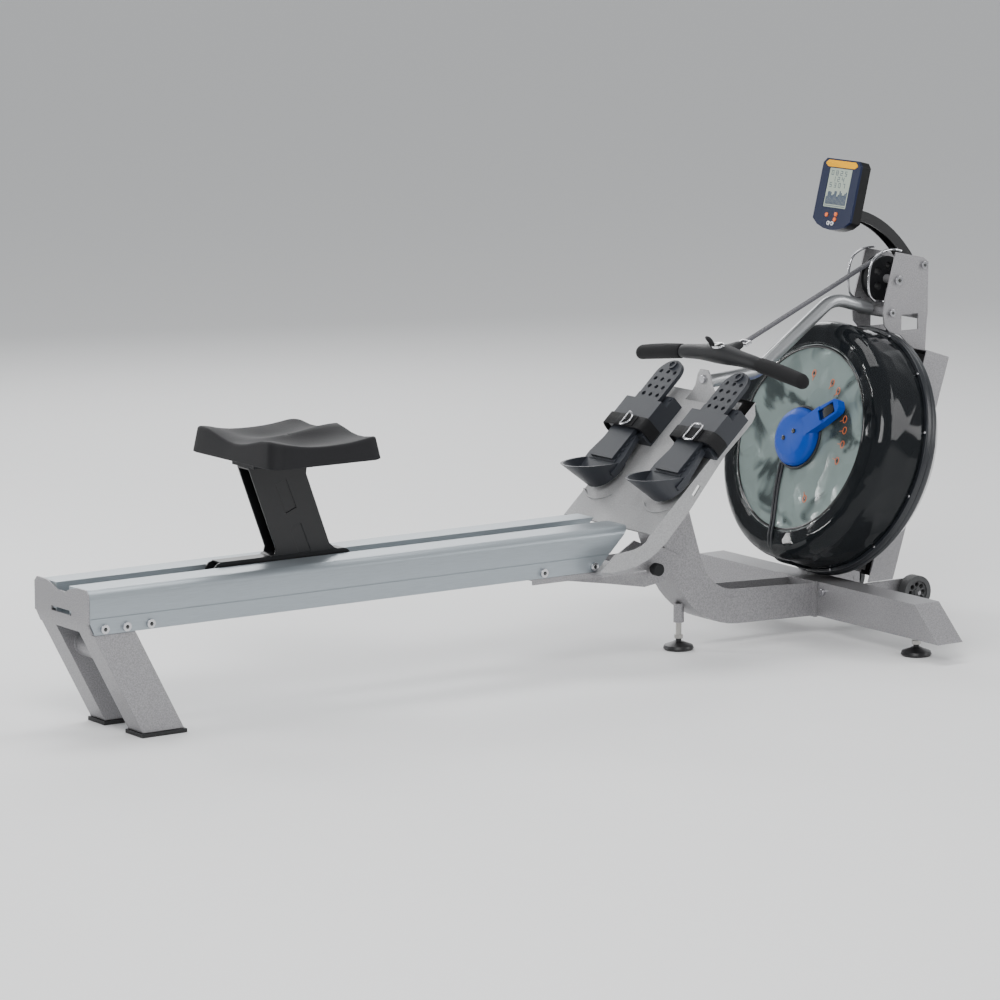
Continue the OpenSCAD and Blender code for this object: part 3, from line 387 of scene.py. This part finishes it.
FINISHES = {
    RAIL: ["rail_left", "rail_right"],
    POWDER: ["rear_end_plate", "rear_leg_frame", "rail_cradle", "main_channel", "front_stabiliser", "column",
             "top_bracket"],
    POWDER_LIGHT: ["footplate"],
    TUBE: ["upper_tube"],
    CHROME: ["rail_bolts", "frame_bolts", "impeller_shaft", "seat_axles", "handle_shackle"],
    STEEL: ["shaft_bearings"],
    RUBBER: ["rear_pads", "tank_gasket", "shaft_seal"],
    FOOT: ["levelling_foot_left", "levelling_foot_right", "levelling_foot_centre"],
    SMOKE: ["tank_front_shell"],
    REAR: ["tank_rear_shell"],
    RING: ["tank_ring"],
    INNER: ["tank_inner_wall"],
    BELT: ["belt_return"],
    WEBBING: ["recoil_cord"],
    BLOCK: ["footrest_bases", "heel_slider_left", "heel_slider_right"],
    PLASTIC: ["latch_knob", "seat_block", "top_pulley", "drive_spool", "impeller"],
    BLACK_PAINT: ["seat_upright", "seat_trolley", "monitor_arm"],
    ROLLER: ["front_rollers", "rear_rollers"],
    BLUE: ["adjuster_lever"],
    NAVY: ["monitor_case"],
    LCD: ["monitor_screen"],
    ORANGE: ["button_select", "button_plus", "button_minus"],
    WHITE: ["button_down", "button_up"],
    TYRE: ["transport_wheel_left", "transport_wheel_right"],
}
# Width of the softened edge in metres, where it isn't EDGE_WIDTH
EDGE_WIDTH = 0.0007
EDGES = {"rail_left": 0.0005, "rail_right": 0.0005, "adjuster_lever": 0.0025, "monitor_case": 0.003,
         "footrest_bases": 0.0018, "heel_slider_left": 0.0014, "heel_slider_right": 0.0014,
         "top_bracket": 0.0010, "column": 0.0014, "front_stabiliser": 0.002, "tank_front_shell": 0.001,
         "button_select": 0.0008, "seat_upright": 0.0009, "rear_leg_frame": 0.0016}


def soften(node, width):
    """Rounds a CAD node's edges a little, and keeps its flat faces flat."""
    shown = nodes[node]
    if "custom_normal" in shown.data.attributes:
        shown.data.attributes.remove(shown.data.attributes["custom_normal"])
    shown.data.shade_smooth()
    weld = shown.modifiers.new("weld", "WELD")
    weld.merge_threshold = WELD_DISTANCE
    flat = shown.modifiers.new("flat", "DECIMATE")
    flat.decimate_type = "DISSOLVE"
    flat.angle_limit = math.radians(0.6)
    bevel = shown.modifiers.new("edge", "BEVEL")
    bevel.width = width
    bevel.segments = 2
    bevel.limit_method = "ANGLE"
    bevel.angle_limit = math.radians(38)
    normals = shown.modifiers.new("normals", "WEIGHTED_NORMAL")
    normals.keep_sharp = True


for finish, names in FINISHES.items():
    for name in names:
        nodes[name].data.materials.clear()
        nodes[name].data.materials.append(finish)
        soften(name, EDGES.get(name, EDGE_WIDTH))

# Seat pad ----------------------------------------------------------------------------


def seat_outline(half_x, half_y, radius, arc=10, edge=10):
    """A rounded rectangle round the origin, built a quarter at a time and turned into place."""
    points = []
    for quarter in range(4):
        turn = math.tau / 4 * quarter
        reach = (half_y, half_x) if quarter % 2 else (half_x, half_y)
        corner = Vector((reach[0] - radius, reach[1] - radius))
        for k in range(arc + 1):
            t = math.tau / 4 * k / arc
            points.append((corner + radius * Vector((math.cos(t), math.sin(t)))).to_2d().to_tuple()
                          + (turn,))
        for k in range(1, edge):
            points.append((corner.x - 2 * corner.x * k / edge, reach[1], turn))
    return [(x * math.cos(t) - y * math.sin(t), x * math.sin(t) + y * math.cos(t)) for x, y, t in points]


def seat_height(u, v):
    """Height of the seat's skin: u is -1 at the rear and 1 towards the tank, v is across."""
    a = abs(v)
    height = 0.0375
    height -= 0.010 * bell(u, -0.05, 0.55) * bell(a, 0.46, 0.34)
    height += 0.015 * bell(u, -0.92, 0.42) * bell(a, 0.74, 0.36)
    height -= 0.005 * bell(u, -1.0, 0.45) * bell(v, 0, 0.28)
    height += 0.013 * bell(u, 0.92, 0.55) * bell(v, 0, 0.30)
    height += 0.009 * bell(u, 0.95, 0.40) * bell(a, 1.0, 0.26)
    height += 0.005 * bell(v, 0, 0.13) * bell(u, 0.35, 0.7)
    return height


def make_seat():
    """The dished top, its rounded rim, the flared side and the flat underside."""
    low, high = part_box("seat_pad")
    centre = (low + high) / 2
    half_x, half_y = (high.x - low.x) / 2, (high.y - low.y) / 2
    flare, fillet, radius = 0.006, 0.007, 0.028
    inset = flare + fillet
    rings = []
    shape = seat_outline(half_x - inset, half_y - inset, radius - inset / 2)
    for k in range(1, 31):
        f = (k / 30) ** 0.9
        rings.append([(x * f, y * f, seat_height(x * f / half_x, y * f / half_y)) for x, y in shape])
    for k in range(1, 7):
        t = math.tau / 4 * k / 6
        grow = fillet * math.sin(t)
        shape_k = seat_outline(half_x - inset + grow, half_y - inset + grow, radius - inset / 2 + grow)
        rings.append([(x, y, seat_height(x / half_x, y / half_y) - fillet * (1 - math.cos(t)))
                      for x, y in shape_k])
    top = rings[-1]
    for k in range(1, 8):
        f = k / 7
        shape_k = seat_outline(half_x - flare * (1 - f), half_y - flare * (1 - f), radius)
        rings.append([(x, y, top[i][2] * (1 - f) + 0.0015 * f) for i, (x, y) in enumerate(shape_k)])
    rings.append([(x * 0.985, y * 0.985, 0.0) for x, y, _ in rings[-1]])
    base = Vector((centre.x, centre.y, low.z))
    verts, faces = loft([[base + Vector(p) for p in ring] for ring in rings])
    pad = piece("seat_cushion", verts, faces, SEAT, "seat", "seat_foam", ["seat_pad"])
    pad.data.shade_smooth()


make_seat()

# Handle ------------------------------------------------------------------------------

HANDLE = Vector((0.528, 0, 0.611))
HANDLE_HALF = 0.284
CORE_HALF = 0.129
DROOP = 0.028
SHACKLE = Vector((0.588, 0, 0.6297))


def bow(y):
    """Height of the handle's centre line, which drops towards the ends."""
    return HANDLE.z - DROOP * (abs(y) / HANDLE_HALF) ** 1.6


def handle_ring(y, across, tall, count=32, forward=0.0):
    return [Vector((HANDLE.x + forward + across * math.cos(math.tau * k / count), y,
                    bow(y) + tall * math.sin(math.tau * k / count))) for k in range(count)]


def lug_ring(centre, radius, count=16):
    """A level ring of the small lug on the handle, wider across than along."""
    return [centre + Vector((radius * math.cos(a), radius * 1.35 * math.sin(a), 0))
            for a in (math.tau * k / count for k in range(count))]


def make_handle():
    """The bowed core with its yoke and lug, two grips and the plain badge."""
    rings = []
    steps = 48
    for k in range(steps + 1):
        y = -CORE_HALF + 2 * CORE_HALF * k / steps
        bulge = bell(y, 0, 0.055)
        end = 1 - 0.12 * (abs(y) / CORE_HALF) ** 14
        rings.append(handle_ring(y, (0.0155 + 0.0075 * bulge) * end, (0.0155 + 0.0055 * bulge) * end,
                                 forward=0.002 * bulge))
    core = loft(rings)
    yoke_rings = []
    for t, wide, tall in ((0, 0.040, 0.015), (0.35, 0.027, 0.0125), (0.62, 0.0185, 0.0105),
                          (0.85, 0.0145, 0.009), (0.97, 0.0125, 0.0075)):
        place = HANDLE.lerp(SHACKLE, t * 0.86)
        yoke_rings.append([place + Vector((0, wide * math.cos(a), tall * math.sin(a)))
                           for a in (math.tau * k / 28 for k in range(28))])
    lug = [lug_ring(Vector((0.523, 0.014, 0.622)).lerp(Vector((0.505, 0.026, 0.655)), t), r)
           for t, r in ((0, 0.0065), (0.3, 0.0055), (0.55, 0.0062), (0.70, 0.0050), (0.76, 0.0022))]
    verts, faces = join([core, loft(yoke_rings), loft(lug)])
    piece("handle_body", verts, faces, PLASTIC, "handle", "black_plastic", ["handle_core"])
    grips = []
    for sign in (-1, 1):
        rings = []
        for k in range(30):
            f = k / 29
            y = CORE_HALF + 0.0015 + (HANDLE_HALF - 0.0155 - CORE_HALF) * f
            start = 0.94 if k == 0 else 1
            r = (0.0157 + 0.0008 * math.sin(math.pi * f)) * start
            rings.append(handle_ring(sign * y, r, r))
        for k in range(1, 7):
            t = math.tau / 4 * k / 6.3
            y = HANDLE_HALF - 0.0158 + 0.0156 * math.sin(t)
            rings.append(handle_ring(sign * y, 0.0157 * math.cos(t), 0.0157 * math.cos(t)))
        grips.append(loft(rings))
    verts, faces = join(grips)
    piece("handle_grip_pair", verts, faces, GRIP, "handle", "rubber_black", ["handle_grips"])
    tilt = math.radians(22)
    out = Vector((-math.sin(tilt), 0, math.cos(tilt)))
    along = Vector((math.cos(tilt), 0, math.sin(tilt)))

    def badge_point(a, b, height):
        return HANDLE + along * a + SIDE * b + out * height

    piece("handle_badge_rim", *plate(ellipse(0.0, 0.0, 0.0105, 0.019, 32), badge_point, 0.012, 0.0222),
          CHROME, "handle", "steel")
    piece("handle_badge", *plate(ellipse(0.0, 0.0, 0.0085, 0.0165, 32), badge_point, 0.0215, 0.0226),
          WINDOW, "handle", "black_plastic")


make_handle()

# Belt and its wire guards --------------------------------------------------------------

PULLEY = Vector((0.957, 0, 0.740))
PULLEY_R = 0.044
BELT_SLOPE = math.radians(23.4)
BELT_WIDTH, BELT_THICK = 0.020, 0.0024
# The belt ends this far inside the shackle's frame
BELT_TUCK = 0.002
belt_normal = Vector((-math.sin(BELT_SLOPE), 0, math.cos(BELT_SLOPE)))
belt_start = PULLEY + (PULLEY_R + BELT_THICK / 2) * belt_normal
belt_fall = (belt_start.x - SHACKLE.x - BELT_TUCK) * math.tan(BELT_SLOPE)
belt_end = Vector((SHACKLE.x + BELT_TUCK, 0, belt_start.z - belt_fall))
span = [belt_start.lerp(belt_end, k / 80) for k in range(81)]
belt = piece("drive_belt_span", *sweep(span, strip_section(BELT_WIDTH, BELT_THICK), SIDE), BELT,
             "handle", "belt", ["belt_span"], ride=False)
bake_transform(belt)

# Distance from the middle plane of a guard, and of its ends at the bracket plate
GUARD_Y, GUARD_END_Y = 0.034, 0.0465
guards = []
for sign in (-1, 1):
    side_y, end_y = sign * GUARD_Y, sign * GUARD_END_Y
    route = smooth_path([(0.972, end_y, 0.800), (0.960, side_y, 0.803), (0.930, side_y, 0.800),
                         (0.902, side_y, 0.782), (0.893, side_y, 0.745), (0.896, side_y, 0.712),
                         (0.912, side_y, 0.697), (0.930, side_y, 0.695), (0.938, end_y, 0.694)])
    rings = []
    for i, point in enumerate(route):
        ahead = (route[min(i + 1, len(route) - 1)] - route[max(i - 1, 0)]).normalized()
        first = ahead.cross(Vector((0.3, 1, 0.1))).normalized()
        second = ahead.cross(first)
        rings.append([point + first * a + second * b for a, b in round_section(0.0026)])
    guards.append(loft(rings))
piece("wire_guard_pair", *join(guards), CHROME, "frame", "bolt_chrome", ["wire_guards"])

# Foot straps and buckles -----------------------------------------------------------------

STRAP_UP = 0.224
STRAP_WIDTH = 0.030


def strap_route(sign):
    """From the base on one side, over the block, to a loose loop on the outer side."""
    top = 0.0505
    half = 0.0622
    inner, outer = REST_Y - half, REST_Y + half
    flat = [(inner, 0.006), (inner, 0.022), (inner, 0.042), (inner + 0.003, 0.049),
            (inner + 0.012, top), (REST_Y, top + 0.0005), (outer - 0.012, top),
            (outer + 0.002, 0.0485), (outer + 0.009, 0.038), (outer + 0.012, 0.022),
            (outer + 0.006, 0.010), (outer, 0.005)]
    return [foot_point(STRAP_UP, sign * y, out) for y, out in flat]


straps = []
for sign in (-1, 1):
    straps.append(sweep(smooth_path(strap_route(sign), 5), strip_section(STRAP_WIDTH, 0.0026), FOOT_UP))
    folded = [foot_point(STRAP_UP, sign * REST_Y + y, out) for y, out in
              ((-0.034, 0.0530), (-0.020, 0.0545), (0.0, 0.0548), (0.016, 0.0545), (0.022, 0.0535))]
    straps.append(sweep(smooth_path(folded, 5), strip_section(STRAP_WIDTH - 0.003, 0.0024), FOOT_UP))
piece("foot_strap_pair", *join(straps), WEBBING, "frame", "webbing", ["foot_straps"])

BUCKLE_R, BUCKLE_OUT = 0.0022, 0.0585
square = smooth_path([foot_point(STRAP_UP + a, -REST_Y + b, BUCKLE_OUT) for a, b in
                      ((-0.019, -0.028), (-0.019, 0.0), (0.0, 0.002),
                       (0.019, 0.0), (0.019, -0.028), (0.0, -0.030))], 6)
half_ring = [foot_point(STRAP_UP - 0.017 * math.cos(t), REST_Y - 0.004 - 0.021 * math.sin(t), BUCKLE_OUT)
             for t in (math.pi * k / 20 for k in range(21))]
bar = [foot_point(STRAP_UP + a, REST_Y - 0.004, BUCKLE_OUT) for a in (0.012, 0.0, -0.012)]
buckles = [sweep(square, round_section(BUCKLE_R), FOOT_OUT, closed=True),
           sweep(half_ring + bar, round_section(BUCKLE_R), FOOT_OUT, closed=True)]
piece("strap_buckle_pair", *join(buckles), CHROME, "frame", "steel", ["strap_buckles"])

# Tank: face colour, dial marks, moulded channel --------------------------------------------

tint(SMOKE, noise_factor(SMOKE, 8.0, 0.47, 0.66), (0.10, 0.13, 0.13), Transmission_Weight=0.6)
tint(SMOKE, distance_factor(SMOKE, TANK_CENTRE, TANK_AXIS, 0.192, 0.206, True), (0.020, 0.024, 0.028),
     Transmission_Weight=0.6)
tint(REAR, distance_factor(REAR, TANK_CENTRE, TANK_AXIS, 0.190, 0.200, True), (0.015, 0.018, 0.020))
tint(NAVY, distance_factor(NAVY, DISPLAY_CENTRE, DISPLAY_OUT, -0.006, -0.005, False), (0.002, 0.008, 0.038))
tint(FOOT, distance_factor(FOOT, Vector((0, 0, 0)), Vector((0, 0, 1)), 0.0235, 0.0240, False),
     (0.45, 0.44, 0.42), Metallic=1.0)

# Radius of the row of marks, and the angle of each in degrees
MARK_R = 0.139
MARK_ANGLES = [93, 65, 53, 23.5, 13.6, 1.3, -13.5, -63]
mark_rims, mark_dots = [], []
for angle in MARK_ANGLES:
    a = math.radians(angle)
    up, y = MARK_R * math.sin(a), -MARK_R * math.cos(a)
    rim = [tank_point(up + 0.0075 * math.cos(t), y + 0.0052 * math.sin(t), FACE_S + 0.0006)
           for t in (math.tau * k / 24 for k in range(24))]
    mark_rims.append(sweep(rim, round_section(0.0007, 6), TANK_AXIS, closed=True))
    start = tank_point(up * 0.955, y * 0.955, FACE_S + 0.0006)
    tip = tank_point(up * 0.89, y * 0.89, FACE_S + 0.0006)
    mark_rims.append(sweep([start, start.lerp(tip, 0.5), tip], round_section(0.0006, 6), TANK_AXIS))
    mark_dots.append(plate(ellipse(up, y, 0.0042, 0.0026, 16), tank_point,
                           FACE_S + 0.0001, FACE_S + 0.0008))
piece("dial_mark_rims", *join(mark_rims), ORANGE, "frame", "key_orange")
piece("dial_mark_dots", *join(mark_dots), WINDOW, "frame", "black_plastic")

channel = smooth_path([tank_point(*p) for p in (
    (-0.060, 0.036, 0.1285), (-0.120, 0.031, 0.1285), (-0.182, 0.019, 0.1285), (-0.198, 0.012, 0.1325),
    (-0.214, 0.008, 0.1345), (-0.234, 0.006, 0.128), (-0.250, 0.006, 0.112), (-0.2595, 0.007, 0.090),
    (-0.2605, 0.009, 0.055), (-0.2605, 0.012, 0.016))], 6)
channel_parts = []
for shift in (-0.0045, 0.0045):
    line = [p + SIDE * shift for p in channel]
    channel_parts.append(sweep(line, round_section(0.0030, 10), SIDE))
piece("tank_channel", *join(channel_parts), RING, "frame", "ring_black")

HUB_S = FACE_S + 0.0003
COLLAR_R, FACE_RIM_R = 0.0655, 0.197
collar = [tank_point(COLLAR_R * math.cos(t), COLLAR_R * math.sin(t), HUB_S + 0.003)
          for t in (math.tau * k / 72 for k in range(72))]
piece("hub_collar", *sweep(collar, round_section(0.0032, 10), TANK_AXIS, closed=True), RING,
      "frame", "ring_black")
face_rim = [tank_point(FACE_RIM_R * math.cos(t), FACE_RIM_R * math.sin(t), HUB_S)
            for t in (math.tau * k / 120 for k in range(120))]
piece("face_rim", *sweep(face_rim, round_section(0.0030, 10), TANK_AXIS, closed=True), WINDOW,
      "frame", "ring_black")

# Lever: window, screws ----------------------------------------------------------------------

# The lever points this far above level at rest
LEVER_ANGLE = math.radians(34)


def lever_point(along, across, out):
    """A point from the tank's axis: along the lever, across it, and out of the face."""
    up = along * math.sin(LEVER_ANGLE) + across * math.cos(LEVER_ANGLE)
    y = -along * math.cos(LEVER_ANGLE) + across * math.sin(LEVER_ANGLE)
    return tank_point(up, y, FACE_S + out)


window = [(0.091, -0.011), (0.128, -0.011), (0.135, -0.004), (0.135, 0.004), (0.128, 0.011),
          (0.091, 0.011)]
piece("lever_window", *plate(window, lever_point, 0.0163, 0.0262), WINDOW, "adjuster", "black_plastic")
screws = [plate(ellipse(a, 0.0, 0.005, 0.005, 20), lever_point, 0.031, 0.0352) for a in (0.016, -0.016)]
piece("hub_screws", *join(screws), WINDOW, "adjuster", "black_plastic")

# Display details ------------------------------------------------------------------------------

band = [(0.0715, -0.044), (0.0715, 0.044), (0.066, 0.0515), (0.0625, 0.0515),
        (0.0575, 0.043), (0.0575, -0.043), (0.0625, -0.0515), (0.066, -0.0515)]
piece("display_band", *plate(band, display_point, -0.0005, 0.0007), AMBER, "display", "key_orange")

DIGITS = {0: "abcdef", 1: "bc", 2: "abged", 3: "abgcd", 4: "fgbc", 5: "afgcd", 7: "abc", 8: "abcdefg"}
# The screen's surface, and half the thickness of the ink on it
LCD_OUT, INK_HALF = -0.0007, 0.0002


def lcd_box(up0, up1, y0, y1):
    """A dark rectangle on the screen."""
    return plate([(up0, y0), (up0, y1), (up1, y1), (up1, y0)], display_point,
                 LCD_OUT - INK_HALF, LCD_OUT + INK_HALF, 0.00005)


def digit(value, up, y, tall, wide):
    """One seven-segment digit; y falls to the right as the rower sees it."""
    t = tall * 0.12
    boxes = {"a": (up + tall - t, up + tall, y - wide, y),
             "b": (up + tall / 2, up + tall, y - wide, y - wide + t),
             "c": (up, up + tall / 2, y - wide, y - wide + t),
             "d": (up, up + t, y - wide, y),
             "e": (up, up + tall / 2, y - t, y),
             "f": (up + tall / 2, up + tall, y - t, y),
             "g": (up + tall / 2 - t / 2, up + tall / 2 + t / 2, y - wide, y)}
    return [lcd_box(*boxes[s]) for s in DIGITS[value]]


# Digits of each row, and where its first digit starts
LCD_ROWS = [((0, 8, 2, 5), 0.0405, 0.029), ((1, 2, 4), 0.0275, 0.021), ((5, 3, 0, 7), 0.0145, 0.029)]
ink = []
for values, up, y in LCD_ROWS:
    for i, value in enumerate(values):
        ink += digit(value, up, y - 0.0145 * i, 0.0100, 0.0072)
for i in range(16):
    tall = 0.016 + 0.013 * abs(math.sin(i * 0.75)) + 0.002 * math.sin(i * 2.1)
    ink.append(lcd_box(-0.0215, -0.0215 + tall, 0.0330 - 0.0042 * i, 0.0296 - 0.0042 * i))
ink.append(lcd_box(-0.0250, -0.0238, -0.033, 0.033))
piece("lcd_segments", *join(ink), LCD_INK, "display", "lcd")

# Body, place on the face and direction of each arrow key's mark
arrows = {"button_down": ("key_down", -0.061, 0.007, -1), "button_up": ("key_up", -0.061, -0.005, 1)}
for node, (body, up, y, turn) in arrows.items():
    mark = [(up + 0.003 * turn, y), (up - 0.002 * turn, y + 0.003), (up - 0.002 * turn, y - 0.003)]
    piece(node + "_mark", *plate(mark, display_point, 0.0019, 0.0023, 0.0001), NAVY, body, "case_navy")

# Sockets of the cap bolts, shown as painted shade ------------------------------------------------------


def loose_parts(node):
    """The separate solids of a CAD node, each as a list of points."""
    shape = bmesh.new()
    shape.from_mesh(nodes[node].data)
    bmesh.ops.remove_doubles(shape, verts=shape.verts, dist=WELD_DISTANCE)
    left = set(shape.verts)
    while left:
        part, queue = [], [left.pop()]
        while queue:
            vert = queue.pop()
            part.append(vert.co.copy())
            for edge in vert.link_edges:
                other = edge.other_vert(vert)
                if other in left:
                    left.remove(other)
                    queue.append(other)
        yield part
    shape.free()


def socket_shade_discs(node):
    """A dark hexagon on every round end that faces sideways: painted shade in place of the bolt's recessed
    hex socket.
    """
    made = []
    for part in loose_parts(node):
        for sign in (-1, 1):
            end = max(sign * p.y for p in part)
            face = [p for p in part if sign * p.y > end - 0.0002]
            x_lo, x_hi = min(p.x for p in face), max(p.x for p in face)
            z_lo, z_hi = min(p.z for p in face), max(p.z for p in face)
            wide, tall = x_hi - x_lo, z_hi - z_lo
            if 0.008 < wide < 0.024 and abs(wide - tall) < 0.0006:
                middle = Vector(((x_lo + x_hi) / 2, sign * end, (z_lo + z_hi) / 2))
                hexagon = ellipse(0, 0, wide * 0.24, wide * 0.24, 6)
                made.append(plate(hexagon, lambda a, b, out: middle + Vector((a, sign * out, b)),
                                  -0.0004, 0.0003, 0.0001))
    return made


# Flat black hexagons are painted shade for the recessed sockets in the chrome bolt heads
for node in ("rail_bolts", "frame_bolts"):
    piece(node + "_socket_shades", *join(socket_shade_discs(node)), WINDOW, "frame", "bolt_chrome")

# Stage, light and camera ---------------------------------------------------------------------

floor_mesh = bpy.data.meshes.new("floor")
floor_mesh.from_pydata([(-30, -30, 0), (30, -30, 0), (30, 30, 0), (-30, 30, 0)], [], [(0, 1, 2, 3)])
floor_mesh.materials.append(surface("floor_pale", (0.93, 0.93, 0.93), 0.8, vary=0.01, size=0.05, depth=0.0))
floor = bpy.data.objects.new("floor", floor_mesh)
bpy.context.scene.collection.objects.link(floor)

# The world is brightest behind the object, along the camera's heading
world = bpy.data.worlds.new("studio")
world.use_nodes = True
sky = world.node_tree
backdrop = sky.nodes.new("ShaderNodeVectorMath")
backdrop.operation = "DOT_PRODUCT"
backdrop.inputs[1].default_value = (0.574, 0.819, 0)
sky.links.new(sky.nodes.new("ShaderNodeTexCoord").outputs["Generated"], backdrop.inputs[0])
glow = add_node(sky, "ShaderNodeMapRange", From_Min=0.55, From_Max=0.97, To_Min=0.45, To_Max=1.25)
glow.interpolation_type = "SMOOTHSTEP"
sky.links.new(backdrop.outputs["Value"], glow.inputs["Value"])
sky.nodes["Background"].inputs["Color"].default_value = (0.96, 0.98, 1.0, 1)
sky.links.new(glow.outputs["Result"], sky.nodes["Background"].inputs["Strength"])
bpy.context.scene.world = world


def area_light(name, place, aim, size, power):
    """A rectangular lamp at a place, aimed at a point."""
    lamp = bpy.data.lights.new(name, "AREA")
    lamp.shape = "RECTANGLE"
    lamp.size, lamp.size_y = size
    lamp.energy = power
    made = bpy.data.objects.new(name, lamp)
    made.location = place
    made.rotation_mode = "QUATERNION"
    made.rotation_quaternion = (Vector(aim) - Vector(place)).to_track_quat("-Z", "Y")
    bpy.context.scene.collection.objects.link(made)


area_light("key", (-2.6, -3.2, 3.4), (0, 0, 0.3), (2.0, 2.0), 150)
area_light("fill", (3.4, -2.6, 2.0), (0.4, 0, 0.4), (1.4, 2.2), 50)
area_light("top", (0.2, 0.6, 4.2), (0, 0, 0.3), (3.2, 1.6), 85)
area_light("back", (1.5, 4.0, 2.4), (0.2, 0, 0.4), (3.0, 1.4), 60)
area_light("strip", (-1.6, 2.2, 1.3), (0.86, 0, 0.4), (0.16, 1.8), 26)

# The camera as fitted to the photograph
camera_data = bpy.data.cameras.new("camera")
camera_data.lens = 172.16
camera_data.sensor_width = 36
camera_data.clip_start, camera_data.clip_end = 0.1, 100
camera = bpy.data.objects.new("camera", camera_data)
camera.location = (-5.4766, -7.7720, 1.9592)
camera.rotation_mode = "QUATERNION"
camera.rotation_quaternion = Vector((0.5659, 0.8075, -0.1663)).to_track_quat("-Z", "Y")
bpy.context.scene.collection.objects.link(camera)
bpy.context.scene.camera = camera
